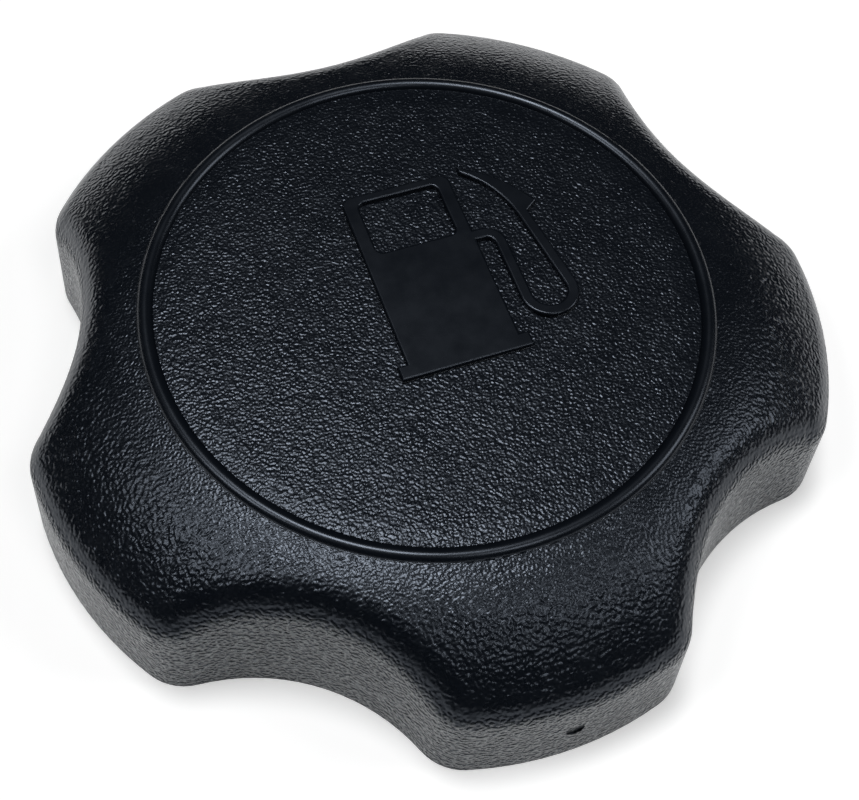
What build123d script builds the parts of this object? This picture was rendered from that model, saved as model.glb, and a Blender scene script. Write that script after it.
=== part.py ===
from build123d import *
import os
from math import atan, degrees, radians, sqrt, tan

# Five-lobed bayonet filler cap for a small engine's fuel tank.
# Millimetres, +Z up. The origin is the centre of the rim plane, where the tank's neck enters.
# One lobe points along -Y, and the pictogram on the roof reads upright along +Y.

# ---- grip cover, outside ----
lobes = 5
lobe_reach = 10.0            # tip of a lobe past the neck's outside, at the rim
crest_arc = 29.4             # outer curve of a lobe
scallop_depth = 5.65         # how far a finger scallop cuts in
scallop_arc = 17.1           # hollow curve of a scallop
corner_radius = 4.35         # between lobe and scallop
cover_height = 14.4          # rim to the flat of the roof
top_flat_radius = 20.0       # the roof is flat inside this and domed outside it
shoulder_drop = 5.7          # the dome's fall from the flat out to the tip of a lobe
dome_overrun = 0.5           # the dome is drawn this far past the tips of the lobes
edge_round = 3.6             # from the shoulder over into the walls
draft_angle = 2.7            # degrees, all side walls

# ---- grip cover, inside ----
wall = 2.0
roof = 2.2
rib_thickness = 1.6
rib_spread = 8.0             # degrees each side of a lobe's middle
rib_setback = 2.6            # ribs stop this far above the rim
rib_clearance = 2.2          # ribs to the neck's outside
pad_thickness = 0.8          # raised seat above the gasket
locating_wall = 1.0          # thin wall round the gasket's edge
locating_depth = 1.2         # how far it reaches down the gasket
boss_radius = 2.8
boss_clearance = 0.4         # to the gasket's bore and to the valve cage
vent_groove_width = 1.4
vent_groove_depth = 0.6

# ---- raised marks on the roof ----
bead_radius = 22.34          # middle of the ring bead
bead_width = 1.3
bead_height = 0.45
icon_height = 0.45
mark_round = 0.2             # edges of the raised marks
icon_middle = 0.8            # middle of the pump's column, along X
icon_foot = -6.85            # underside of the pump's foot, along Y
column_width = 9.35
column_height = 17.9         # foot included
column_round = 0.9
foot_width = 10.95
foot_height = 1.35
window_width = 6.8
window_height = 5.2
window_round = 0.6
window_land = 0.85           # land above the window
hose_width = 1.0
hose_leave = 11.25           # hose above the foot's underside, where it leaves the column
hose_inner_limb = 1.85       # column's side to the inner limb
hose_elbow = 1.2
bight_radius = 1.95          # the hose's U turn
bight_drop = 6.8             # from hose_leave down to the middle of the U turn
hose_lean = 8.4              # degrees that the outer limb leans in
hose_outer_limb = 7.6        # length of the outer limb
nozzle_reach = 3.65          # from the outer limb's top in to the nozzle's tip
nozzle_rise = 5.4            # and up to it
nozzle_tip_width = 0.6
nozzle_heel = 1.5            # the heel stands out this far from the hose
nozzle_heel_rise = 0.8
nozzle_bulge = 0.6           # rise of its curved sides over their chords
gate_radius = 0.75           # sprue mark low on the -Y lobe
gate_depth = 0.35
gate_height = 4.3

# ---- the tank neck that the cap closes ----
neck_bore_radius = 20.0
neck_outer_radius = 24.0
neck_flange_drop = 4.6       # neck's top down to the underside of its bayonet flange

# ---- gasket ----
gasket_thickness = 2.4
gasket_grip = 2.4            # width of it that the cup clamps
gasket_clearance = 0.3       # to the locating wall
gasket_round = 0.3
lip_width = 1.2
lip_height = 0.6
lip_inset = 0.5              # lip inside the neck's outer edge
lip_round = 0.2

# ---- retainer cup ----
cup_sheet = 0.8
cup_clearance = 0.6          # cup to the neck's bore
cup_depth = 3.6
cup_bend = 1.2               # outside of the bend

# ---- cup screws ----
screw_angles = (90, 210, 330)
screw_radius = 1.45
screw_length = 4.2
screw_point = 0.5
screw_head_radius = 2.4
screw_head_height = 1.4
screw_head_round = 0.6
cross_length = 2.8
cross_width = 0.7
cross_depth = 0.8
pilot_clearance = 0.05
pilot_spare = 0.4            # pilot hole deeper than the screw
hole_clearance = 0.15        # screw holes in the cup

# ---- hollow rivet and washer ----
stem_radius = 2.5
tail_radius = 2.0            # where it passes the cup
tail_clearance = 0.05
vent_bore_radius = 1.0
stem_head_radius = 4.4
stem_head_height = 1.1
stem_head_round = 0.4
upset_radius = 3.3
upset_height = 0.6
washer_radius = 5.4
washer_sheet = 0.6
slide_clearance = 0.08       # claw and washer on the stem

# ---- locking claw ----
claw_sheet = 1.2
hub_clearance = 0.8          # hub to the screw heads
arm_width = 8.4
ear_width = 12.4
ear_round = 1.0              # corners of the ears
ear_reach = 1.7              # past the neck's bore
leg_clearance = 0.8          # claw's legs to the neck's bore
claw_bend = 1.6              # outside of each bend
claw_travel = 1.8
key_clearance = 0.2          # claw's arms in the cup's notches

# ---- spring ----
spring_wire = 1.0
spring_turns = 3.5
spring_small_radius = 3.9
spring_setback = 1.7         # from the hub's edge to the outside of the spring

# ---- breather ----
disc_setback = 0.2           # disc inside the edge of the rivet's upset head
disc_thickness = 0.8
disc_lift = 0.5
cage_clearance = 0.3         # round the rivet's upset head
cage_wall = 1.0
cage_flange = 0.8
cage_slots = 4
cage_slot_width = 1.2
cage_slot_height = 0.8
foam_clearance = 0.3

# ---- places worked out from the sizes above ----
crest_radius = neck_outer_radius + lobe_reach
notch_radius = crest_radius - scallop_depth
dome_run = crest_radius - top_flat_radius
shoulder_arc = (dome_run**2 + shoulder_drop**2) / (2 * shoulder_drop)
ceiling = cover_height - roof
gasket_top = ceiling - pad_thickness
gasket_bottom = gasket_top - gasket_thickness
seal_plane = gasket_bottom - lip_height
locating_radius = neck_outer_radius
gasket_radius = locating_radius - gasket_clearance
lip_radius = neck_outer_radius - lip_inset
rib_radius = neck_outer_radius + rib_clearance
cup_radius = neck_bore_radius - cup_clearance
gasket_bore_radius = cup_radius - gasket_grip
screw_circle = gasket_bore_radius - boss_clearance - boss_radius
hub_radius = screw_circle - screw_head_radius - hub_clearance
spring_large_radius = hub_radius - spring_setback - spring_wire / 2
cup_top = gasket_bottom
cup_under = cup_top - cup_sheet
ear_top = seal_plane - neck_flange_drop
ear_under = ear_top - claw_sheet
ear_radius = neck_bore_radius + ear_reach
leg_radius = neck_bore_radius - leg_clearance
hub_under = cup_under - claw_sheet
head_under = ear_under - claw_travel
head_top = head_under + stem_head_height
washer_top = head_top + washer_sheet
upset_top = cup_top + upset_height
disc_radius = upset_radius - disc_setback
cage_bore_radius = upset_radius + cage_clearance
cage_radius = cage_bore_radius + cage_wall
cage_flange_radius = screw_circle - boss_radius - boss_clearance
lift_stop = upset_top + disc_thickness + disc_lift
lobe_angle = -90
scallop_angle = 90
same_height = 0.01           # closer than this counts as one height
BOTTOM = (Align.CENTER, Align.CENTER, Align.MIN)
TOP = (Align.CENTER, Align.CENTER, Align.MAX)


def dome_fall(radius, arc):
    """How far a dome with this section arc has fallen at a radius outside the flat of the roof."""
    return arc - sqrt(arc**2 - (radius - top_flat_radius) ** 2)


def is_brow(edge, top):
    """True for an edge where the dome meets the walls: high up, but below the flat of the roof."""
    return top / 2 < edge.bounding_box().min.Z and edge.bounding_box().max.Z < top - same_height


def crown(inset, top):
    """The cover's plain form: lobed walls taken in by inset, and a roof at the height top."""
    arc = shoulder_arc - (cover_height - top)
    dome_radius = crest_radius + dome_overrun
    dome_edge = top - dome_fall(dome_radius, arc)
    corner = corner_radius - inset
    corner_at_roof = corner - top * tan(radians(draft_angle))
    with BuildPart() as body:
        with BuildSketch() as outline:
            with PolarLocations(crest_radius - crest_arc, lobes, start_angle=lobe_angle):
                Circle(crest_arc - inset)
            with PolarLocations(notch_radius + scallop_arc, lobes, start_angle=scallop_angle):
                Circle(scallop_arc + inset, mode=Mode.SUBTRACT)
            fillet(outline.vertices(), corner)
        extrude(amount=top)
        draft(body.faces().filter_by(Axis.Z, reverse=True), Plane.XY, draft_angle)
        with BuildSketch(Plane.XZ):
            with BuildLine():
                Polyline((top_flat_radius, top), (0, top), (0, 0), (dome_radius, 0), (dome_radius, dome_edge))
                RadiusArc((top_flat_radius, top), (dome_radius, dome_edge), arc)
            make_face()
        revolve(axis=Axis.Z, mode=Mode.INTERSECT)
        brow = [edge for edge in body.edges() if is_brow(edge, top)]
        fillet(brow, min(edge_round - inset, 1.3 * corner_at_roof))
    return body.part


# ---- grip cover: one moulding ----
icon_right = icon_middle + column_width / 2
hose_y = icon_foot + hose_leave
bight_y = hose_y - bight_drop
limb_x = icon_right + hose_inner_limb
bead_arc = ((bead_width / 2) ** 2 + bead_height**2) / (2 * bead_height)
bead_seat = cover_height - dome_fall(bead_radius, shoulder_arc)

with BuildPart() as cover_inside:
    with Locations((0, 0, gasket_top)):
        Cylinder(locating_radius + locating_wall, cover_height - gasket_top, align=BOTTOM)
        Cylinder(gasket_bore_radius, cover_height - gasket_top, align=BOTTOM, mode=Mode.SUBTRACT)
    with Locations((0, 0, gasket_top)):
        Cylinder(locating_radius + locating_wall, locating_depth, align=TOP)
        Cylinder(locating_radius, locating_depth, align=TOP, mode=Mode.SUBTRACT)
    with BuildSketch(Plane.XY.offset(gasket_bottom)):
        for angle in screw_angles:
            with PolarLocations(screw_circle, 1, start_angle=angle):
                Circle(boss_radius)
    extrude(amount=cover_height - gasket_bottom)
    with BuildSketch(Plane.XY.offset(rib_setback)):
        for side in (-rib_spread, rib_spread):
            with PolarLocations(rib_radius, lobes, start_angle=lobe_angle + side):
                Rectangle(crest_radius - rib_radius, rib_thickness, align=(Align.MIN, Align.CENTER))
    extrude(amount=cover_height - rib_setback)
    with BuildSketch(Plane.XY.offset(gasket_top + vent_groove_depth)):
        with Locations((0, -gasket_bore_radius)):
            Rectangle(vent_groove_width, 2 * (rib_radius - gasket_bore_radius))
    extrude(amount=-vent_groove_depth - locating_depth, mode=Mode.SUBTRACT)
    add(crown(wall / 2, cover_height - roof / 2), mode=Mode.INTERSECT)

with BuildPart() as grip_cover:
    add(crown(0, cover_height))
    add(crown(wall, ceiling), mode=Mode.SUBTRACT)
    add(cover_inside.part)
    with BuildSketch(Plane.XY.offset(gasket_bottom)):
        for angle in screw_angles:
            with PolarLocations(screw_circle, 1, start_angle=angle):
                Circle(screw_radius + pilot_clearance)
    extrude(amount=screw_length - cup_sheet + pilot_spare, mode=Mode.SUBTRACT)
    with BuildSketch(Plane.XZ):
        with Locations((bead_radius, bead_seat + bead_height - bead_arc)):
            Circle(bead_arc)
    revolve(axis=Axis.Z)
    with BuildSketch(Plane.XY.offset(cover_height - roof / 4)) as icon:
        with Locations((icon_middle, icon_foot)):
            Rectangle(column_width, column_height, align=(Align.CENTER, Align.MIN))
        fillet(icon.vertices().group_by(Axis.Y)[-1], column_round)
        with Locations((icon_middle, icon_foot)):
            Rectangle(foot_width, foot_height, align=(Align.CENTER, Align.MIN))
        with Locations((icon_middle, icon_foot + column_height - window_land)):
            RectangleRounded(
                window_width, window_height, window_round,
                align=(Align.CENTER, Align.MAX), mode=Mode.SUBTRACT,
            )
        with BuildLine():
            FilletPolyline(
                (icon_right - hose_width, hose_y), (limb_x, hose_y), (limb_x, bight_y),
                radius=hose_elbow,
            )
            bight = JernArc((limb_x, bight_y), (0, -1), bight_radius, 180 + hose_lean)
            limb = PolarLine(bight @ 1, hose_outer_limb, direction=bight % 1)
        trace(line_width=hose_width)
        half_hose = (limb % 1).rotate(Axis.Z, -90) * hose_width / 2
        nozzle_tip = limb @ 1 + (-nozzle_reach, nozzle_rise)
        nozzle_back = nozzle_tip + (0, nozzle_tip_width)
        nozzle_barb = limb @ 1 + (nozzle_heel, nozzle_heel_rise)
        with BuildLine():
            SagittaArc(limb @ 1 - half_hose, nozzle_tip, -nozzle_bulge)
            Line(nozzle_tip, nozzle_back)
            SagittaArc(nozzle_back, nozzle_barb, nozzle_bulge)
            Polyline(nozzle_barb, limb @ 1 + half_hose, limb @ 1 - half_hose)
        make_face()
    extrude(amount=roof / 4 + icon_height)
    fillet(grip_cover.edges().group_by(Axis.Z)[-1], mark_round)
    with BuildSketch(Plane.XZ.offset(crest_radius - gate_depth)):
        with Locations((0, gate_height)):
            Circle(gate_radius)
    extrude(amount=crest_radius, mode=Mode.SUBTRACT)
grip_cover.part.label = "grip_cover"

# ---- sealing gasket: nitrile rubber ring with a sealing lip ----
with BuildPart() as sealing_gasket:
    with BuildSketch(Plane.XZ) as ring:
        with Locations((gasket_bore_radius, gasket_bottom)):
            Rectangle(gasket_radius - gasket_bore_radius, gasket_thickness, align=(Align.MIN, Align.MIN))
        fillet(ring.vertices(), gasket_round)
        with Locations((lip_radius, seal_plane)):
            Rectangle(lip_width, lip_height + gasket_round, align=(Align.MAX, Align.MIN))
        fillet(ring.vertices().group_by(Axis.Y)[0], lip_round)
    revolve(axis=Axis.Z)
sealing_gasket.part.label = "sealing_gasket"

# ---- retainer cup: zinc-plated pressing with notches for the claw's arms ----
with BuildPart() as retainer_cup:
    with Locations((0, 0, cup_top)):
        Cylinder(cup_radius, cup_depth, align=TOP)
    fillet(retainer_cup.edges().group_by(Axis.Z)[-1], cup_bend)
    offset(amount=-cup_sheet, openings=retainer_cup.faces().sort_by(Axis.Z)[0])
    with Locations((0, 0, cup_top)):
        Cylinder(tail_radius + tail_clearance, cup_sheet, align=TOP, mode=Mode.SUBTRACT)
    with BuildSketch(Plane.XY.offset(cup_top)):
        for angle in screw_angles:
            with PolarLocations(screw_circle, 1, start_angle=angle):
                Circle(screw_radius + hole_clearance)
    extrude(amount=-cup_sheet, mode=Mode.SUBTRACT)
    with BuildSketch(Plane.XY.offset(cup_under)):
        with PolarLocations(leg_radius - claw_sheet - key_clearance, 2):
            Rectangle(cup_radius, arm_width + 2 * key_clearance, align=(Align.MIN, Align.CENTER))
    extrude(amount=-cup_depth, mode=Mode.SUBTRACT)
retainer_cup.part.label = "retainer_cup"

# ---- cup screws: self-tapping pan heads with a cross recess ----
cup_screws = []
for angle in screw_angles:
    with BuildPart(Plane.XY.rotated((0, 0, angle)).offset(cup_under)) as cup_screw:
        with Locations((screw_circle, 0)):
            Cylinder(screw_radius, screw_length, align=BOTTOM)
            Cylinder(screw_head_radius, screw_head_height, align=TOP)
        chamfer(cup_screw.edges().group_by(Axis.Z)[-1], screw_point)
        fillet(cup_screw.edges().group_by(Axis.Z)[0], screw_head_round)
        with Locations((screw_circle, 0, -screw_head_height)):
            Box(cross_length, cross_width, cross_depth, align=BOTTOM, mode=Mode.SUBTRACT)
            Box(cross_width, cross_length, cross_depth, align=BOTTOM, mode=Mode.SUBTRACT)
    cup_screws.append(cup_screw.part)

# ---- rivet stem: hollow, shouldered, upset over the cup ----
with BuildPart() as rivet_stem:
    with BuildSketch(Plane.XZ) as half:
        with Locations((0, head_under)):
            Rectangle(stem_head_radius, stem_head_height, align=(Align.MIN, Align.MIN))
        fillet(half.vertices().group_by(Axis.X)[-1], stem_head_round)
        with Locations((0, head_top)):
            Rectangle(stem_radius, cup_under - head_top, align=(Align.MIN, Align.MIN))
        with Locations((0, cup_under)):
            Rectangle(tail_radius, cup_sheet, align=(Align.MIN, Align.MIN))
        with Locations((0, cup_top)):
            Rectangle(upset_radius, upset_height, align=(Align.MIN, Align.MIN))
        with Locations((0, head_under)):
            Rectangle(
                vent_bore_radius, upset_top - head_under,
                align=(Align.MIN, Align.MIN), mode=Mode.SUBTRACT,
            )
    revolve(axis=Axis.Z)
rivet_stem.part.label = "rivet_stem"

# ---- spring washer ----
with BuildPart() as spring_washer:
    with Locations((0, 0, head_top)):
        Cylinder(washer_radius, washer_sheet, align=BOTTOM)
        Cylinder(stem_radius + slide_clearance, washer_sheet, align=BOTTOM, mode=Mode.SUBTRACT)
spring_washer.part.label = "spring_washer"

# ---- locking claw: zinc-plated strap with a hub, two legs and two ears ----
with BuildPart() as locking_claw:
    with BuildSketch(Plane.XZ) as strap:
        with BuildLine():
            Polyline(
                (0, cup_under), (leg_radius, cup_under), (leg_radius, ear_top), (ear_radius, ear_top),
                (ear_radius, ear_under), (leg_radius - claw_sheet, ear_under),
                (leg_radius - claw_sheet, hub_under), (0, hub_under), close=True,
            )
        make_face()
        bends = [(leg_radius, cup_under), (leg_radius - claw_sheet, ear_under)]
        fillet(strap.vertices().filter_by(lambda corner: (corner.X, corner.Y) in bends), claw_bend)
    extrude(amount=arm_width / 2, both=True)
    mirror(about=Plane.YZ)
    with Locations((0, 0, cup_under)):
        Cylinder(hub_radius, claw_sheet, align=TOP)
    with BuildSketch(Plane.XY.offset(ear_under)):
        with PolarLocations(leg_radius, 2):
            Rectangle(ear_reach + leg_clearance, ear_width, align=(Align.MIN, Align.CENTER))
    extrude(amount=claw_sheet)
    with Locations((0, 0, cup_under)):
        Cylinder(stem_radius + slide_clearance, claw_sheet, align=TOP, mode=Mode.SUBTRACT)
        Cylinder(ear_radius, cup_under - ear_under, align=TOP, mode=Mode.INTERSECT)
    upright_edges = locking_claw.edges().filter_by(Axis.Z)
    fillet(upright_edges.filter_by(lambda edge: abs(edge.center().X) > leg_radius), ear_round)
locking_claw.part.label = "locking_claw"

# ---- conical spring: ends ground flat between the washer and the claw's hub ----
spring_height = hub_under - washer_top
spring_cone = degrees(atan((spring_large_radius - spring_small_radius) / spring_height))
with BuildPart() as conical_spring:
    with BuildLine() as coil:
        Helix(
            spring_height / spring_turns, spring_height, spring_small_radius,
            center=(0, 0, washer_top), cone_angle=spring_cone,
        )
    with BuildSketch(Plane(coil.line @ 0, z_dir=coil.line % 0)):
        Circle(spring_wire / 2)
    sweep(path=coil.line, is_frenet=True)
    split(bisect_by=Plane.XY.offset(washer_top), keep=Keep.TOP)
    split(bisect_by=Plane.XY.offset(hub_under), keep=Keep.BOTTOM)
conical_spring.part.label = "conical_spring"

# ---- breather disc: rubber valve on the hollow rivet ----
with BuildPart() as breather_disc:
    with Locations((0, 0, upset_top)):
        Cylinder(disc_radius, disc_thickness, align=BOTTOM)
breather_disc.part.label = "breather_disc"

# ---- valve cage: nylon hub and flange under the roof ----
with BuildPart() as valve_cage:
    with Locations((0, 0, cup_top)):
        Cylinder(cage_radius, ceiling - cup_top, align=BOTTOM)
        Cylinder(cage_bore_radius, lift_stop - cup_top, align=BOTTOM, mode=Mode.SUBTRACT)
    with Locations((0, 0, ceiling)):
        Cylinder(cage_flange_radius, cage_flange, align=TOP)
    with BuildSketch(Plane.XY.offset(cup_top)):
        with PolarLocations(0, cage_slots, start_angle=45):
            Rectangle(cage_radius * 2, cage_slot_width, align=(Align.MIN, Align.CENTER))
    extrude(amount=cage_slot_height, mode=Mode.SUBTRACT)
valve_cage.part.label = "valve_cage"

# ---- foam filter: open-cell ring round the cage ----
foam_height = ceiling - cage_flange - cup_top
with BuildPart() as foam_filter:
    with Locations((0, 0, cup_top)):
        Cylinder(cage_flange_radius - foam_clearance, foam_height, align=BOTTOM)
        Cylinder(cage_radius + foam_clearance, foam_height, align=BOTTOM, mode=Mode.SUBTRACT)
foam_filter.part.label = "foam_filter"

os.makedirs("parts", exist_ok=True)
pieces = [
    grip_cover, sealing_gasket, retainer_cup, rivet_stem, spring_washer, locking_claw,
    conical_spring, breather_disc, valve_cage, foam_filter,
]
for piece in pieces:
    export_step(piece.part, f"parts/{piece.part.label}.step")
for number, cup_screw in enumerate(cup_screws, start=1):
    cup_screw.label = f"cup_screw_{number}"
    export_step(cup_screw, f"parts/{cup_screw.label}.step")
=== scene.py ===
from math import cos, pi, radians, sin

import bpy
from mathutils import Matrix, Vector


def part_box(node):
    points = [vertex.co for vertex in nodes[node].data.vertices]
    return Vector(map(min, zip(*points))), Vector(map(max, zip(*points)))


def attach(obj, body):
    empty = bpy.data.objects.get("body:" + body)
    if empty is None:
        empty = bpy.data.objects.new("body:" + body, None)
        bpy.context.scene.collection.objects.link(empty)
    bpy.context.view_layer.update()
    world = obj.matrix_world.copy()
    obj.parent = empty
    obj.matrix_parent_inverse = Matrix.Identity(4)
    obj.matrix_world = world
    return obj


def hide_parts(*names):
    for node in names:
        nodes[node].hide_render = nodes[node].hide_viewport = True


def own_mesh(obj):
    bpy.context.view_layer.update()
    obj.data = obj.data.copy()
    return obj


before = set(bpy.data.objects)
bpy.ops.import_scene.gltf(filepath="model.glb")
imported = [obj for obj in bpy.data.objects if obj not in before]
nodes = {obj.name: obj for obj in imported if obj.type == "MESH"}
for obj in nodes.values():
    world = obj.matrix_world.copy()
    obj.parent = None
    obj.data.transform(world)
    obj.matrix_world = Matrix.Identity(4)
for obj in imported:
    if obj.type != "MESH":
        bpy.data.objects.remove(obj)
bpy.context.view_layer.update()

MM = 0.001

# ---- the cap's sizes in metres, as it is built ----
ROOF = 14.4 * MM             # rim to the flat of the roof
FLAT_RADIUS = 20.0 * MM      # the roof is flat inside this
SHOULDER_ARC = 20.04 * MM    # section of the domed shoulder
MARK_HEIGHT = 0.45 * MM      # ring bead and pump stand this far above the roof
BEAD_RADIUS = 22.34 * MM     # middle of the ring bead
BEAD_WIDTH = 1.3 * MM
WIRE = 1.0 * MM
SPRING_TURNS = 3.5
SPRING_SMALL = 3.9 * MM      # middle of the wire at the washer
SPRING_LARGE = 8.4 * MM      # and at the claw's hub


def linear(hex_colour):
    """sRGB hex colour to the linear values that a shader takes."""
    channels = [int(hex_colour[i:i + 2], 16) / 255 for i in (1, 3, 5)]
    return tuple(c / 12.92 if c <= 0.04045 else ((c + 0.055) / 1.055) ** 2.4 for c in channels) + (1.0,)


def add_node(tree, kind, settings=None, **links):
    """Add a node, set its properties, then fill its sockets with values or links."""
    node = tree.nodes.new(kind)
    for name, value in (settings or {}).items():
        setattr(node, name, value)
    for name, value in links.items():
        key = int(name[1:]) if name[0] == "i" and name[1:].isdigit() else name.replace("_", " ")
        socket = node.inputs[key]
        if isinstance(value, bpy.types.NodeSocket):
            tree.links.new(value, socket)
        else:
            socket.default_value = value
    return node


def new_material(name):
    material = bpy.data.materials.new(name)
    material.use_nodes = True
    material.node_tree.nodes.clear()
    return material, material.node_tree


# ---- grip cover ----
GRAIN_WIDTH = 0.21 * MM      # one worm of the fine grain and its channel
GRAIN_LENGTH = 0.34 * MM     # between its longer channels
GRAIN_DEPTH = 0.05 * MM      # of the fine grain on the roof
COARSE = 1.45                # width of the coarse grain, in times the fine one's
SHOULDER_SHARE = 0.7         # how much of the shoulder's grain is coarse
SHOULDER_GRAIN = 2.1         # depth of the coarse grain there, in times GRAIN_DEPTH
WALL_GRAIN = 8.0             # and on the walls
BROW_GRAIN = 0.45            # what hands have left of the grain on the brow
SINK_DEPTH = 0.05 * MM       # slow waves that the cooling plastic is left with
SINK_SPAN = 6 * MM
SMEAR_SPAN = 2.5 * MM        # patches that are a little glossier or duller
SHEEN = (0.74, 0.84, 1.0, 1.0)    # the gloss is a little blue

# where zones meet, as the upward part of the surface's normal: 0 on an upright face, 1 on a level one
WALL_TO_BROW = (0.15, 0.55)
# where the walls' painted crest highlight and chafing fades out towards the black brow
CREST_HIGHLIGHT_TO_BLACK = (0.05, 0.5)
BROW_TO_SHOULDER = (0.60, 0.86)
SHOULDER_TO_ROOF = (0.92, 0.99)


def etched_grain(tree, place, size):
    """Height of the leather-like grain that the mould was etched with: rounded worms, narrow channels."""
    worms = add_node(
        tree, "ShaderNodeTexNoise", Vector=place, Scale=1 / (GRAIN_WIDTH * size), Detail=0.0,
    )
    folds = add_node(
        tree, "ShaderNodeTexNoise", Vector=place, Scale=1 / (GRAIN_LENGTH * size), Detail=0.0,
    )
    middle = add_node(tree, "ShaderNodeMath", {"operation": "SUBTRACT"}, i0=folds.outputs["Fac"], i1=0.5)
    ridges = add_node(tree, "ShaderNodeMath", {"operation": "ABSOLUTE"}, i0=middle.outputs[0])
    return add_node(
        tree, "ShaderNodeMath", {"operation": "ADD"}, i0=worms.outputs["Fac"], i1=ridges.outputs[0],
    ).outputs[0]


def raised_marks(tree, place, radius):
    """1 on the ring bead and the pump, 0 on the roof: how far a point is above the roof's own curve."""
    past_flat = add_node(tree, "ShaderNodeMath", {"operation": "SUBTRACT"}, i0=radius, i1=FLAT_RADIUS)
    run = add_node(tree, "ShaderNodeMath", {"operation": "MAXIMUM"}, i0=past_flat.outputs[0], i1=0.0)
    run_squared = add_node(tree, "ShaderNodeMath", {"operation": "POWER"}, i0=run.outputs[0], i1=2.0)
    rise_squared = add_node(
        tree, "ShaderNodeMath", {"operation": "SUBTRACT"}, i0=SHOULDER_ARC**2, i1=run_squared.outputs[0],
    )
    rise = add_node(tree, "ShaderNodeMath", {"operation": "SQRT"}, i0=rise_squared.outputs[0])
    height = add_node(tree, "ShaderNodeSeparateXYZ", Vector=place).outputs["Z"]
    above = add_node(tree, "ShaderNodeMath", {"operation": "SUBTRACT"}, i0=height, i1=rise.outputs[0])
    arc_centre = ROOF - SHOULDER_ARC
    return add_node(
        tree, "ShaderNodeMapRange", {"interpolation_type": "SMOOTHSTEP"}, Value=above.outputs[0],
        From_Min=arc_centre + 0.1 * MARK_HEIGHT, From_Max=arc_centre + 0.35 * MARK_HEIGHT,
    ).outputs["Result"]


def bead_normal(tree, place, outward, radius):
    """Normal of the ring bead's round section, worked out from its centre line; the mesh's own elsewhere.

    The bead's facets are coarse, and would break its thin highlight into steps.
    """
    section_radius = (BEAD_WIDTH**2 / 4 + MARK_HEIGHT**2) / (2 * MARK_HEIGHT)
    seat = ROOF - SHOULDER_ARC + (SHOULDER_ARC**2 - (BEAD_RADIUS - FLAT_RADIUS)**2) ** 0.5
    ring = add_node(tree, "ShaderNodeVectorMath", {"operation": "SCALE"}, i0=outward, Scale=BEAD_RADIUS)
    centre = add_node(
        tree, "ShaderNodeVectorMath", {"operation": "ADD"},
        i0=ring.outputs[0], i1=(0, 0, seat + MARK_HEIGHT - section_radius),
    )
    away = add_node(
        tree, "ShaderNodeVectorMath", {"operation": "SUBTRACT"}, i0=place, i1=centre.outputs[0],
    )
    round_normal = add_node(
        tree, "ShaderNodeVectorTransform",
        {"vector_type": "NORMAL", "convert_from": "OBJECT", "convert_to": "WORLD"},
        Vector=away.outputs[0],
    )
    on_ring = add_node(
        tree, "ShaderNodeMath", {"operation": "COMPARE"}, i0=radius, i1=BEAD_RADIUS, i2=0.5 * BEAD_WIDTH,
    )
    height = add_node(tree, "ShaderNodeSeparateXYZ", Vector=place).outputs["Z"]
    on_top = add_node(tree, "ShaderNodeMath", {"operation": "GREATER_THAN"}, i0=height, i1=seat)
    on_bead = add_node(
        tree, "ShaderNodeMath", {"operation": "MULTIPLY"}, i0=on_ring.outputs[0], i1=on_top.outputs[0],
    )
    mesh_normal = add_node(tree, "ShaderNodeNewGeometry").outputs["Normal"]
    mixed = add_node(
        tree, "ShaderNodeMix", {"data_type": "VECTOR"}, Factor=on_bead.outputs[0],
        i4=mesh_normal, i5=round_normal.outputs[0],
    )
    return add_node(
        tree, "ShaderNodeVectorMath", {"operation": "NORMALIZE"}, i0=mixed.outputs[1],
    ).outputs[0]


def outer_face(tree, normal, outward):
    """1 where the moulding faces up or outward, 0 on its hidden side and its rim."""
    faces_out = add_node(
        tree, "ShaderNodeVectorMath", {"operation": "DOT_PRODUCT"}, i0=normal, i1=outward,
    )
    faces_up = add_node(tree, "ShaderNodeSeparateXYZ", Vector=normal)
    both = add_node(
        tree, "ShaderNodeMath", {"operation": "ADD"},
        i0=faces_out.outputs["Value"], i1=faces_up.outputs["Z"],
    )
    return add_node(
        tree, "ShaderNodeMapRange", Value=both.outputs[0], From_Min=0.2, From_Max=0.4,
    ).outputs["Result"]


def grain_strengths(tree, normal):
    """Strengths of the roof's fine grain and of the shoulder's and walls' coarse one; the brow is rubbed."""
    upward = add_node(tree, "ShaderNodeSeparateXYZ", Vector=normal).outputs["Z"]
    brow = add_node(
        tree, "ShaderNodeMapRange", {"interpolation_type": "SMOOTHSTEP"}, Value=upward,
        From_Min=BROW_TO_SHOULDER[0], From_Max=BROW_TO_SHOULDER[1], To_Min=BROW_GRAIN, To_Max=1.0,
    ).outputs["Result"]
    shoulder = add_node(
        tree, "ShaderNodeMapRange", {"interpolation_type": "SMOOTHSTEP"}, Value=upward,
        From_Min=SHOULDER_TO_ROOF[0], From_Max=SHOULDER_TO_ROOF[1], To_Min=SHOULDER_SHARE, To_Max=0.0,
    ).outputs["Result"]
    wall = add_node(
        tree, "ShaderNodeMapRange", {"interpolation_type": "SMOOTHSTEP"}, Value=upward,
        From_Min=WALL_TO_BROW[0], From_Max=WALL_TO_BROW[1], To_Min=WALL_GRAIN, To_Max=0.0,
    ).outputs["Result"]
    on_shoulder = add_node(tree, "ShaderNodeMath", {"operation": "MULTIPLY"}, i0=shoulder, i1=brow)
    fine = add_node(tree, "ShaderNodeMath", {"operation": "SUBTRACT"}, i0=brow, i1=on_shoulder.outputs[0])
    coarse = add_node(
        tree, "ShaderNodeMath", {"operation": "MULTIPLY_ADD"},
        i0=on_shoulder.outputs[0], i1=SHOULDER_GRAIN, i2=wall,
    )
    return fine.outputs[0], coarse.outputs[0]


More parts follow.
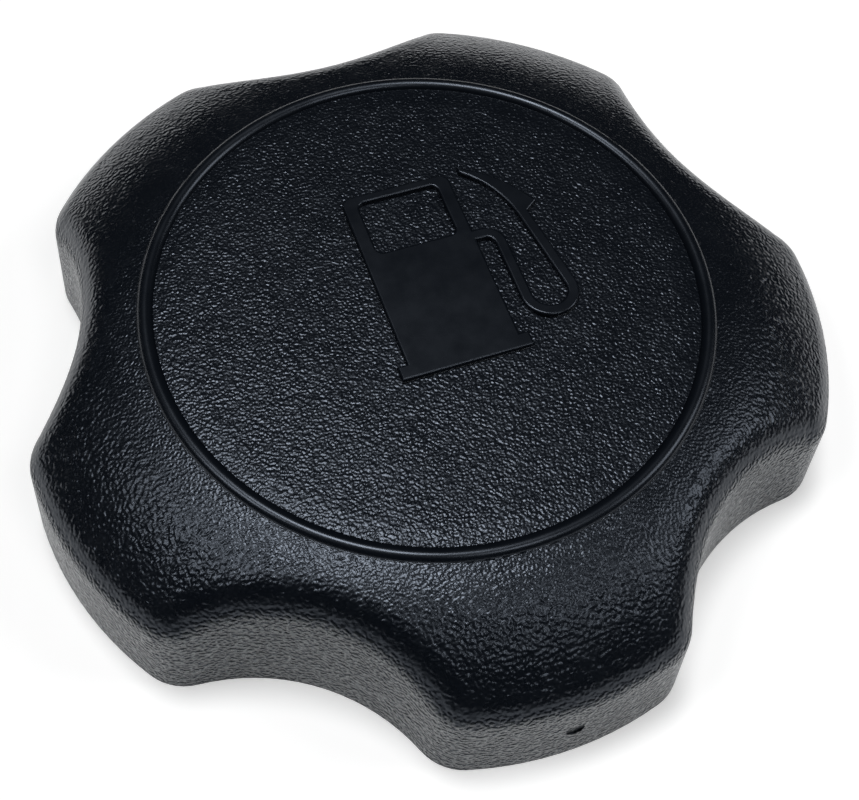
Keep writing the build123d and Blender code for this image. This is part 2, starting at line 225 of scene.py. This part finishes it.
def crest_highlight_and_chafing(tree, grain, normal):
    """Crests of the grain on the walls, painted grey: partly chafing by hands and cloths, partly a painted
    highlight for the paper's light reflected on them.
    """
    crests = add_node(
        tree, "ShaderNodeMapRange", {"interpolation_type": "SMOOTHSTEP"}, Value=grain,
        From_Min=0.56, From_Max=0.72,
    )
    upward = add_node(tree, "ShaderNodeSeparateXYZ", Vector=normal).outputs["Z"]
    wall = add_node(
        tree, "ShaderNodeMapRange", {"interpolation_type": "SMOOTHSTEP"}, Value=upward,
        From_Min=CREST_HIGHLIGHT_TO_BLACK[0], From_Max=CREST_HIGHLIGHT_TO_BLACK[1], To_Min=1.0, To_Max=0.0,
    )
    return add_node(
        tree, "ShaderNodeMath", {"operation": "MULTIPLY"},
        i0=crests.outputs["Result"], i1=wall.outputs["Result"],
    ).outputs[0]


def moulded_polypropylene():
    """Black polypropylene from an etched mould: satin grain that glints, plain marks, walls whose grain
    crests are painted grey as a painted highlight and partly chafing.
    """
    material, tree = new_material("moulded_black_polypropylene")
    source = add_node(tree, "ShaderNodeTexCoord")
    place = source.outputs["Object"]
    level = add_node(
        tree, "ShaderNodeVectorMath", {"operation": "MULTIPLY"}, i0=place, i1=(1, 1, 0),
    ).outputs[0]
    radius = add_node(tree, "ShaderNodeVectorMath", {"operation": "LENGTH"}, i0=level).outputs["Value"]
    outward = add_node(tree, "ShaderNodeVectorMath", {"operation": "NORMALIZE"}, i0=level).outputs[0]
    marks = raised_marks(tree, place, radius)
    outer = outer_face(tree, source.outputs["Normal"], outward)
    grained = add_node(
        tree, "ShaderNodeMath", {"operation": "SUBTRACT", "use_clamp": True}, i0=outer, i1=marks,
    )
    fine_strength, coarse_strength = grain_strengths(tree, source.outputs["Normal"])
    fine, coarse = etched_grain(tree, place, 1.0), etched_grain(tree, place, COARSE)
    coarse_part = add_node(
        tree, "ShaderNodeMath", {"operation": "MULTIPLY"}, i0=coarse, i1=coarse_strength,
    )
    relief = add_node(
        tree, "ShaderNodeMath", {"operation": "MULTIPLY_ADD"},
        i0=fine, i1=fine_strength, i2=coarse_part.outputs[0],
    )
    grain = add_node(
        tree, "ShaderNodeMath", {"operation": "MULTIPLY"}, i0=relief.outputs[0], i1=grained.outputs[0],
    )
    waves = add_node(tree, "ShaderNodeTexNoise", Vector=place, Scale=1 / SINK_SPAN, Detail=0.0)
    surface = add_node(
        tree, "ShaderNodeMath", {"operation": "MULTIPLY_ADD"},
        i0=waves.outputs["Fac"], i1=SINK_DEPTH / GRAIN_DEPTH, i2=grain.outputs[0],
    )
    bump = add_node(
        tree, "ShaderNodeBump", Strength=1.0, Distance=GRAIN_DEPTH, Height=surface.outputs[0],
        Normal=bead_normal(tree, place, outward, radius),
    )
    smears = add_node(
        tree, "ShaderNodeTexNoise", Vector=place, Scale=1 / SMEAR_SPAN, Detail=3.0, Roughness=0.6,
    )
    roughness = add_node(
        tree, "ShaderNodeMapRange", Value=smears.outputs["Fac"], From_Min=0.3, From_Max=0.7,
        To_Min=0.24, To_Max=0.30,
    )
    crest_highlight_and_wear = add_node(
        tree, "ShaderNodeMath", {"operation": "MULTIPLY"},
        i0=crest_highlight_and_chafing(tree, coarse, source.outputs["Normal"]), i1=grained.outputs[0],
    )
    # the walls' grain crests go to #6a6e6e: a painted highlight for the paper's reflected light, and partly
    # chafing
    colour = add_node(
        tree, "ShaderNodeMix", {"data_type": "RGBA"}, Factor=crest_highlight_and_wear.outputs[0],
        i6=linear("#090d13"), i7=linear("#6a6e6e"),
    )
    shader = add_node(
        tree, "ShaderNodeBsdfPrincipled", Base_Color=colour.outputs[2], IOR=1.49, Specular_Tint=SHEEN,
        Roughness=roughness.outputs["Result"], Normal=bump.outputs["Normal"],
    )
    add_node(tree, "ShaderNodeOutputMaterial", Surface=shader.outputs["BSDF"])
    return material


# ---- hidden side ----
def nitrile_rubber():
    """Moulded black nitrile rubber: dull, with the faintest grey bloom."""
    material, tree = new_material("nitrile_rubber")
    place = add_node(tree, "ShaderNodeTexCoord").outputs["Object"]
    bloom = add_node(tree, "ShaderNodeTexNoise", Vector=place, Scale=1 / (6 * MM), Detail=4.0)
    colour = add_node(
        tree, "ShaderNodeMix", {"data_type": "RGBA"}, Factor=bloom.outputs["Fac"],
        i6=linear("#0e0e0f"), i7=linear("#1d1d1e"),
    )
    skin = add_node(tree, "ShaderNodeTexNoise", Vector=place, Scale=1 / (0.25 * MM), Detail=1.0)
    bump = add_node(tree, "ShaderNodeBump", Strength=1.0, Distance=0.02 * MM, Height=skin.outputs["Fac"])
    shader = add_node(
        tree, "ShaderNodeBsdfPrincipled", Base_Color=colour.outputs[2], Roughness=0.55, IOR=1.52,
        Normal=bump.outputs["Normal"],
    )
    add_node(tree, "ShaderNodeOutputMaterial", Surface=shader.outputs["BSDF"])
    return material


def zinc_plate():
    """Bright zinc on pressed steel: silvery, a little blue, clouded by handling and finely pitted.

    The pits are drawn coarser than the real ones, so that they show.
    """
    material, tree = new_material("bright_zinc_plate")
    place = add_node(tree, "ShaderNodeTexCoord").outputs["Object"]
    clouds = add_node(
        tree, "ShaderNodeTexNoise", Vector=place, Scale=1 / (4 * MM), Detail=4.0, Roughness=0.6,
    )
    colour = add_node(
        tree, "ShaderNodeMix", {"data_type": "RGBA"}, Factor=clouds.outputs["Fac"],
        i6=linear("#c3c8d0"), i7=linear("#cfccc2"),
    )
    roughness = add_node(
        tree, "ShaderNodeMapRange", Value=clouds.outputs["Fac"], From_Min=0.3, From_Max=0.7,
        To_Min=0.24, To_Max=0.42,
    )
    pits = add_node(tree, "ShaderNodeTexNoise", Vector=place, Scale=1 / (0.3 * MM), Detail=2.0)
    bump = add_node(tree, "ShaderNodeBump", Strength=1.0, Distance=0.012 * MM, Height=pits.outputs["Fac"])
    shader = add_node(
        tree, "ShaderNodeBsdfPrincipled", Base_Color=colour.outputs[2], Metallic=1.0,
        Roughness=roughness.outputs["Result"], Normal=bump.outputs["Normal"],
    )
    add_node(tree, "ShaderNodeOutputMaterial", Surface=shader.outputs["BSDF"])
    return material


def drawn_wire():
    """Oiled spring wire: grey steel with the die's fine marks and a brown tinge from tempering.

    The marks are drawn coarser than the real ones, so that they show.
    """
    material, tree = new_material("drawn_spring_wire")
    place = add_node(tree, "ShaderNodeTexCoord").outputs["Object"]
    tinge = add_node(tree, "ShaderNodeTexNoise", Vector=place, Scale=1 / (3 * MM), Detail=3.0)
    colour = add_node(
        tree, "ShaderNodeMix", {"data_type": "RGBA"}, Factor=tinge.outputs["Fac"],
        i6=linear("#8b8e92"), i7=linear("#a39a8c"),
    )
    die_marks = add_node(tree, "ShaderNodeTexNoise", Vector=place, Scale=1 / (0.15 * MM), Detail=2.0)
    bump = add_node(
        tree, "ShaderNodeBump", Strength=1.0, Distance=0.008 * MM, Height=die_marks.outputs["Fac"],
    )
    shader = add_node(
        tree, "ShaderNodeBsdfPrincipled", Base_Color=colour.outputs[2], Metallic=1.0, Roughness=0.3,
        Normal=bump.outputs["Normal"],
    )
    add_node(tree, "ShaderNodeOutputMaterial", Surface=shader.outputs["BSDF"])
    return material


def natural_nylon():
    """Unpigmented nylon: ivory, slightly see-into, smooth from the mould."""
    material, tree = new_material("natural_nylon")
    place = add_node(tree, "ShaderNodeTexCoord").outputs["Object"]
    flow = add_node(tree, "ShaderNodeTexNoise", Vector=place, Scale=1 / (2 * MM), Detail=2.0)
    colour = add_node(
        tree, "ShaderNodeMix", {"data_type": "RGBA"}, Factor=flow.outputs["Fac"],
        i6=linear("#ded7c4"), i7=linear("#e9e4d6"),
    )
    shader = add_node(
        tree, "ShaderNodeBsdfPrincipled", Base_Color=colour.outputs[2], Roughness=0.38, IOR=1.53,
        Subsurface_Weight=0.2, Subsurface_Scale=0.6 * MM,
    )
    add_node(tree, "ShaderNodeOutputMaterial", Surface=shader.outputs["BSDF"])
    return material


def open_foam():
    """Open-cell polyurethane foam: charcoal ribs round pores about half a millimetre wide, whose depths are
    painted near-black as shade.
    """
    material, tree = new_material("open_cell_foam")
    place = add_node(tree, "ShaderNodeTexCoord").outputs["Object"]
    cells = add_node(
        tree, "ShaderNodeTexVoronoi", {"feature": "DISTANCE_TO_EDGE"}, Vector=place, Scale=1 / (0.5 * MM),
    )
    ribs = add_node(
        tree, "ShaderNodeMapRange", Value=cells.outputs["Distance"], From_Min=0.02, From_Max=0.25,
        To_Min=1.0, To_Max=0.0,
    ).outputs["Result"]
    # the near-black in the cells' middles is painted shade in the open pores; the grey on the ribs is the
    # foam's own colour
    colour = add_node(
        tree, "ShaderNodeMix", {"data_type": "RGBA"}, Factor=ribs,
        i6=linear("#0c0c0d"), i7=linear("#4a4a4d"),
    )
    bump = add_node(tree, "ShaderNodeBump", Strength=1.0, Distance=0.15 * MM, Height=ribs)
    shader = add_node(
        tree, "ShaderNodeBsdfPrincipled", Base_Color=colour.outputs[2], Roughness=0.9,
        Normal=bump.outputs["Normal"],
    )
    add_node(tree, "ShaderNodeOutputMaterial", Surface=shader.outputs["BSDF"])
    return material


def dress(piece, material):
    piece.data.materials.clear()
    piece.data.materials.append(material)


rubber, zinc, wire = nitrile_rubber(), zinc_plate(), drawn_wire()
finishes = {
    "grip_cover": moulded_polypropylene(),
    "sealing_gasket": rubber,
    "breather_disc": rubber,
    "conical_spring": wire,
    "valve_cage": natural_nylon(),
    "foam_filter": open_foam(),
}
for name, node in nodes.items():
    dress(node, finishes.get(name, zinc))


# ---- conical spring, coiled from a round wire section between the washer and the claw's hub ----
TURN_STEPS = 32              # extrusions in one turn
CLOSED_STEPS = TURN_STEPS // 2    # half a turn at each end lies flat
GROUND = 0.2 * WIRE          # what is ground off each end


def coiled_spring():
    """A round section, extruded, turned and moved out again and again; its flat end turns are ground."""
    washer_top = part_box("spring_washer")[1][2]
    hub_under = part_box("conical_spring")[1][2]
    steps = round(SPRING_TURNS * TURN_STEPS)
    rise = (hub_under - washer_top - WIRE + 2 * GROUND) / (steps - 2 * CLOSED_STEPS)
    growth = (SPRING_LARGE - SPRING_SMALL) / steps
    bpy.ops.object.select_all(action="DESELECT")
    bpy.ops.mesh.primitive_circle_add(
        vertices=16, radius=WIRE / 2, fill_type="NGON", rotation=(pi / 2, 0, 0),
        location=(SPRING_SMALL, 0, washer_top + WIRE / 2 - GROUND),
    )
    spring = bpy.context.object
    spring.name = "coiled_spring"
    bpy.ops.object.transform_apply(location=True, rotation=True, scale=True)
    bpy.ops.object.mode_set(mode="EDIT")
    bpy.ops.mesh.select_all(action="SELECT")
    for step in range(1, steps + 1):
        angle = 2 * pi * step / TURN_STEPS
        lift = 0 if step <= CLOSED_STEPS or step > steps - CLOSED_STEPS else rise
        bpy.ops.mesh.extrude_region_move()
        bpy.ops.transform.rotate(value=-2 * pi / TURN_STEPS, orient_axis="Z", center_override=(0, 0, 0))
        bpy.ops.transform.translate(value=(growth * cos(angle), growth * sin(angle), lift))
    for height, below in ((washer_top, True), (hub_under, False)):
        bpy.ops.mesh.select_all(action="SELECT")
        bpy.ops.mesh.bisect(
            plane_co=(0, 0, height), plane_no=(0, 0, 1), use_fill=True, threshold=0.001 * MM,
            clear_inner=below, clear_outer=not below,
        )
    bpy.ops.mesh.select_all(action="SELECT")
    bpy.ops.mesh.remove_doubles(threshold=0.001 * MM)
    bpy.ops.mesh.normals_make_consistent(inside=False)
    bpy.ops.object.mode_set(mode="OBJECT")
    bpy.ops.object.shade_smooth_by_angle(angle=radians(40))
    return spring


spring = coiled_spring()
dress(spring, wire)
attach(spring, "cover")
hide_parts("conical_spring")
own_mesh(spring)


# ---- camera, light and floor ----
EYE_PLACE = Vector((-28.830, -63.843, 117.259)) * MM
EYE_RIGHT = Vector((0.939077, -0.339680, 0.052459))
EYE_UP = Vector((0.268404, 0.820081, 0.505398))
EYE_BACK = Vector((-0.214694, -0.460527, 0.861290))
LENS = 65.67                 # millimetres, over a sensor 36 mm wide
DIM_ROOM = (0.02, 0.02, 0.02, 1)
PALE_GROUND = (0.8, 0.8, 0.8, 1)
FLOOR_GLOW = 0.4             # lifts the lit paper to white, for the eye and in reflections
FLOOR_SIZE = 8


def camera():
    """Close above the near lobes, looking down at the pump, a little rolled."""
    data = bpy.data.cameras.new("camera")
    data.sensor_width = 36
    data.lens = LENS
    data.clip_start = 0.005
    data.clip_end = 50
    eye = bpy.data.objects.new("camera", data)
    bpy.context.scene.collection.objects.link(eye)
    turn = Matrix((EYE_RIGHT, EYE_UP, EYE_BACK)).transposed()
    eye.matrix_world = Matrix.Translation(EYE_PLACE) @ turn.to_4x4()
    bpy.context.scene.camera = eye


def lamp(name, bearing, elevation, width, power):
    """A round soft box one metre away, facing the cap; its bearing is clockwise from +Y, in degrees."""
    turn, tilt = radians(bearing), radians(elevation)
    place = Vector((cos(tilt) * sin(turn), cos(tilt) * cos(turn), sin(tilt)))
    data = bpy.data.lights.new(name, "AREA")
    data.shape = "DISK"
    data.size = width
    data.energy = power
    data.color = (1.0, 1.0, 1.0)
    soft_box = bpy.data.objects.new(name, data)
    bpy.context.scene.collection.objects.link(soft_box)
    soft_box.location = place
    soft_box.rotation_euler = (-place).to_track_quat("-Z", "Y").to_euler()


def room_light():
    """A dim room above the horizon, and below it, past the edge of the paper, a pale ground."""
    world = bpy.data.worlds.new("room")
    bpy.context.scene.world = world
    world.use_nodes = True
    tree = world.node_tree
    tree.nodes.clear()
    way = add_node(tree, "ShaderNodeTexCoord").outputs["Generated"]
    upward = add_node(tree, "ShaderNodeSeparateXYZ", Vector=way).outputs["Z"]
    below = add_node(tree, "ShaderNodeMath", {"operation": "LESS_THAN"}, i0=upward, i1=0.0)
    grey = add_node(
        tree, "ShaderNodeMix", {"data_type": "RGBA"}, Factor=below.outputs[0],
        i6=DIM_ROOM, i7=PALE_GROUND,
    )
    sky = add_node(tree, "ShaderNodeBackground", Color=grey.outputs[2])
    add_node(tree, "ShaderNodeOutputWorld", Surface=sky.outputs["Background"])


def floor_paint():
    """Matt white paper that takes the cap's shadow, and looks white to the eye and in reflections.

    It has no underside, so that the cap can be looked at from below.
    """
    material, tree = new_material("white_paper")
    path = add_node(tree, "ShaderNodeLightPath")
    seen = add_node(
        tree, "ShaderNodeMath", {"operation": "MAXIMUM"},
        i0=path.outputs["Is Camera Ray"], i1=path.outputs["Is Glossy Ray"],
    )
    seen_through = add_node(
        tree, "ShaderNodeMath", {"operation": "MAXIMUM"},
        i0=seen.outputs[0], i1=path.outputs["Is Transmission Ray"],
    )
    paper = add_node(tree, "ShaderNodeBsdfDiffuse", Color=linear("#f4f4f4"))
    glow = add_node(
        tree, "ShaderNodeMath", {"operation": "MULTIPLY"}, i0=seen_through.outputs[0], i1=FLOOR_GLOW,
    )
    white = add_node(tree, "ShaderNodeEmission", Color=linear("#ffffff"), Strength=glow.outputs[0])
    both = add_node(tree, "ShaderNodeAddShader", i0=paper.outputs["BSDF"], i1=white.outputs["Emission"])
    clear = add_node(tree, "ShaderNodeBsdfTransparent")
    underside = add_node(tree, "ShaderNodeNewGeometry").outputs["Backfacing"]
    one_sided = add_node(
        tree, "ShaderNodeMixShader", Fac=underside, i1=both.outputs["Shader"], i2=clear.outputs["BSDF"],
    )
    add_node(tree, "ShaderNodeOutputMaterial", Surface=one_sided.outputs["Shader"])
    return material


camera()
lamp("overhead", bearing=350, elevation=80, width=0.28, power=4.1)
lamp("left", bearing=277, elevation=58, width=0.28, power=1.5)
lamp("right", bearing=105, elevation=42, width=0.4, power=1.7)
lamp("near_right", bearing=155, elevation=62, width=0.26, power=0.9)
room_light()
bpy.ops.object.select_all(action="DESELECT")
bpy.ops.mesh.primitive_plane_add(size=FLOOR_SIZE)
floor = bpy.context.object
floor.name = "floor"
dress(floor, floor_paint())

bpy.context.scene.view_settings.view_transform = "Standard"
